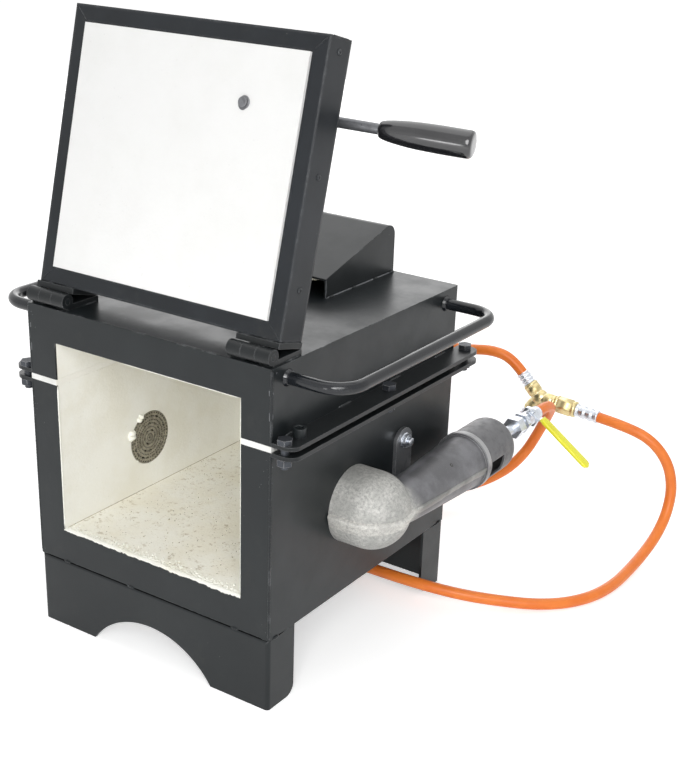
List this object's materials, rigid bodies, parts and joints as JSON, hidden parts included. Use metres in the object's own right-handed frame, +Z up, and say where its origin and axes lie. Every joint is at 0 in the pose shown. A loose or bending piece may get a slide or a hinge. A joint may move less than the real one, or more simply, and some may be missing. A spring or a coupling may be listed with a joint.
{
  "type": "gas melting furnace",
  "caption": "Box-shaped gas melting furnace with a board-lined chamber, swing-up door, side burners with valves, flue hood and a rubber supply hose.",
  "frame": {"origin": "on the floor, in the middle of the furnace's overall box without its hoses", "axes": "+Z up, X across the front with +X at the side of the door's grip, the door opening faces -Y"},
  "size_m": [0.6103, 0.6112, 0.6334],
  "materials": {
    "casing_paint": "satin",
    "lining_board": "matte",
    "door_board": "matte",
    "gasket_fibre": "matte",
    "burner_iron": "rough cast",
    "zinc_steel": "zinc plated",
    "brass": "satin",
    "hose_rubber": "satin",
    "lever_yellow": "dipped",
    "grip_black": "gloss",
    "bolt_steel": "satin"
  },
  "bodies": {
    "furnace": {"lower_shell": "casing_paint", "lower_front_frame": "casing_paint", "upper_shell": "casing_paint", "upper_front_frame": "casing_paint", "split_gasket": "gasket_fibre", "hearth_slab": "lining_board", "lower_side_lining_left": "lining_board", "lower_side_lining_right": "lining_board", "lower_rear_lining": "lining_board", "upper_side_lining_left": "lining_board", "upper_side_lining_right": "lining_board", "upper_rear_lining": "lining_board", "roof_slab": "lining_board", "lower_flange_left": "casing_paint", "lower_flange_right": "casing_paint", "upper_flange_left": "casing_paint", "upper_flange_right": "casing_paint", "flange_bolts": "bolt_steel", "flange_nuts": "bolt_steel", "flange_bushes": "casing_paint", "front_foot": "casing_paint", "rear_foot": "casing_paint", "carry_handle_left": "casing_paint", "carry_handle_right": "casing_paint", "flue_hood": "casing_paint", "burner_plate_left": "burner_iron", "burner_plate_right": "burner_iron", "burner_casting_left": "burner_iron", "burner_casting_right": "burner_iron", "air_bell_left": "burner_iron", "air_bell_right": "burner_iron", "burner_bracket_left": "casing_paint", "burner_bracket_right": "casing_paint", "bracket_studs": "zinc_steel", "jet_holder_left": "zinc_steel", "jet_holder_right": "zinc_steel", "valve_body_left": "zinc_steel", "valve_body_right": "zinc_steel", "hinge_base_left": "casing_paint", "hinge_base_right": "casing_paint", "hinge_pins": "casing_paint", "y_piece": "brass", "swivel_nut": "brass", "hose_ferrules": "zinc_steel", "hose_left": "hose_rubber", "hose_right": "hose_rubber", "hose_supply": "hose_rubber", "hose_coil": "hose_rubber", "gas_connector": "brass"},
    "door": {"door_pan": "casing_paint", "door_board": "door_board", "door_handle_rod": "casing_paint", "door_grip": "grip_black", "hinge_leaf_left": "casing_paint", "hinge_leaf_right": "casing_paint"},
    "lever_right": {"valve_lever_right": "zinc_steel", "lever_sleeve_right": "lever_yellow"},
    "lever_left": {"valve_lever_left": "zinc_steel", "lever_sleeve_left": "lever_yellow"}
  },
  "joints": [
    {"name": "door_hinge", "type": "hinge", "parent": "furnace", "child": "door", "pos_m": [0, -0.22125, 0.365], "axis": [1, 0, 0], "range_deg": [0, 194.4]},
    {"name": "valve_right", "type": "hinge", "parent": "furnace", "child": "lever_right", "pos_m": [0.19, 0.21375, 0.1755], "axis": [0.5736, 0, 0.8192], "range_deg": [0, 90]},
    {"name": "valve_left", "type": "hinge", "parent": "furnace", "child": "lever_left", "pos_m": [-0.19, 0.21375, 0.1755], "axis": [0.5736, 0, -0.8192], "range_deg": [0, 90]}
  ]
}
